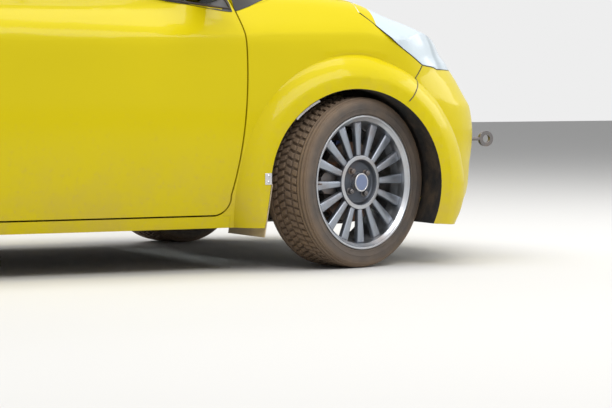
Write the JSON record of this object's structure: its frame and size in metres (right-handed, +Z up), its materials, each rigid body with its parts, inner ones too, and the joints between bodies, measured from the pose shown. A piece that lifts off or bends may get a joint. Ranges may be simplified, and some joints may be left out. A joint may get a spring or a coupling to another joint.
{
  "type": "rally car",
  "caption": "Small three-door rally hatchback with opening doors, bonnet and tailgate, spoked wheels that roll and steer, roll cage and bucket seats.",
  "frame": {"origin": "on the ground, under the middle of the bounding box", "axes": "+X forward, +Y to the car's left, +Z up"},
  "size_m": [3.91, 2.03, 1.479],
  "materials": {
    "body_yellow": "gloss",
    "wheel_silver": "satin",
    "tyre_rubber": "dusty",
    "clear_glass": "gloss",
    "lamp_lens": "gloss",
    "tail_lens": "gloss",
    "black_plastic": "matte",
    "flap_beige": "matte",
    "chassis_paint": "satin",
    "steel": "satin",
    "iron": "rough",
    "alloy": "satin",
    "cage_paint": "satin",
    "seat_shell": "satin",
    "dash_flock": "matte",
    "wheel_rim_suede": "matte"
  },
  "bodies": {
    "car_body": {"floor_pan": "chassis_paint", "front_frame": "chassis_paint", "boot_floor": "chassis_paint", "body_sides": "body_yellow", "roof_panel": "body_yellow", "front_fenders": "body_yellow", "front_bumper": "body_yellow", "rear_bumper": "body_yellow", "windscreen": "clear_glass", "quarter_windows": "clear_glass", "headlights": "lamp_lens", "tail_lights": "tail_lens", "grille": "black_plastic", "cowl_panel": "black_plastic", "arch_liners": "black_plastic", "mud_flaps": "flap_beige", "tow_eyes": "steel", "front_subframe": "chassis_paint", "suspension_legs": "steel", "rear_axle": "chassis_paint", "engine": "iron", "exhaust": "steel", "sump_guard": "alloy", "dashboard": "dash_flock", "steering_wheel": "wheel_rim_suede", "seats": "seat_shell", "roll_cage": "cage_paint"},
    "door_right": {"door_right": "body_yellow", "door_glass_right": "clear_glass", "mirror_right": "body_yellow"},
    "door_left": {"door_left": "body_yellow", "door_glass_left": "clear_glass", "mirror_left": "body_yellow"},
    "bonnet": {"bonnet": "body_yellow"},
    "tailgate": {"tailgate": "body_yellow", "rear_glass": "clear_glass"},
    "knuckle_right": {"knuckle_right": "iron"},
    "knuckle_left": {"knuckle_left": "iron"},
    "wheel_front_left": {"tyre_front_left": "tyre_rubber", "rim_front_left": "wheel_silver", "hub_front_left": "iron"},
    "wheel_front_right": {"tyre_front_right": "tyre_rubber", "rim_front_right": "wheel_silver", "hub_front_right": "iron"},
    "wheel_rear_left": {"tyre_rear_left": "tyre_rubber", "rim_rear_left": "wheel_silver", "hub_rear_left": "iron"},
    "wheel_rear_right": {"tyre_rear_right": "tyre_rubber", "rim_rear_right": "wheel_silver", "hub_rear_right": "iron"}
  },
  "joints": [
    {"name": "door_right_hinge", "type": "hinge", "parent": "car_body", "child": "door_right", "pos_m": [0.745, -0.838, 0.6], "axis": [0, 0, 1], "range_deg": [0, 62]},
    {"name": "door_left_hinge", "type": "hinge", "parent": "car_body", "child": "door_left", "pos_m": [0.745, 0.838, 0.6], "axis": [0, 0, -1], "range_deg": [0, 62]},
    {"name": "bonnet_hinge", "type": "hinge", "parent": "car_body", "child": "bonnet", "pos_m": [0.885, 0, 0.95], "axis": [0, -1, 0], "range_deg": [0, 50]},
    {"name": "tailgate_hinge", "type": "hinge", "parent": "car_body", "child": "tailgate", "pos_m": [-1.388, 0, 1.412], "axis": [0, 1, 0], "range_deg": [0, 72]},
    {"name": "steer_right", "type": "hinge", "parent": "car_body", "child": "knuckle_right", "pos_m": [1.17, -0.715, 0.298], "axis": [0, 0, 1], "range_deg": [-48, 12]},
    {"name": "steer_left", "type": "hinge", "parent": "car_body", "child": "knuckle_left", "pos_m": [1.17, 0.715, 0.298], "axis": [0, 0, 1], "range_deg": [-48, 12]},
    {"name": "spin_front_right", "type": "hinge", "parent": "knuckle_right", "child": "wheel_front_right", "pos_m": [1.17927, -0.74353, 0.298], "axis": [-0.309, 0.9511, 0], "continuous": true},
    {"name": "spin_front_left", "type": "hinge", "parent": "knuckle_left", "child": "wheel_front_left", "pos_m": [1.16073, 0.74353, 0.298], "axis": [-0.309, 0.9511, 0], "continuous": true},
    {"name": "spin_rear_right", "type": "hinge", "parent": "car_body", "child": "wheel_rear_right", "pos_m": [-1.32, -0.745, 0.298], "axis": [0, 1, 0], "continuous": true},
    {"name": "spin_rear_left", "type": "hinge", "parent": "car_body", "child": "wheel_rear_left", "pos_m": [-1.32, 0.745, 0.298], "axis": [0, 1, 0], "continuous": true}
  ],
  "couplings": [
    {"joint": "steer_left", "follows": "steer_right", "ratio": 1}
  ]
}
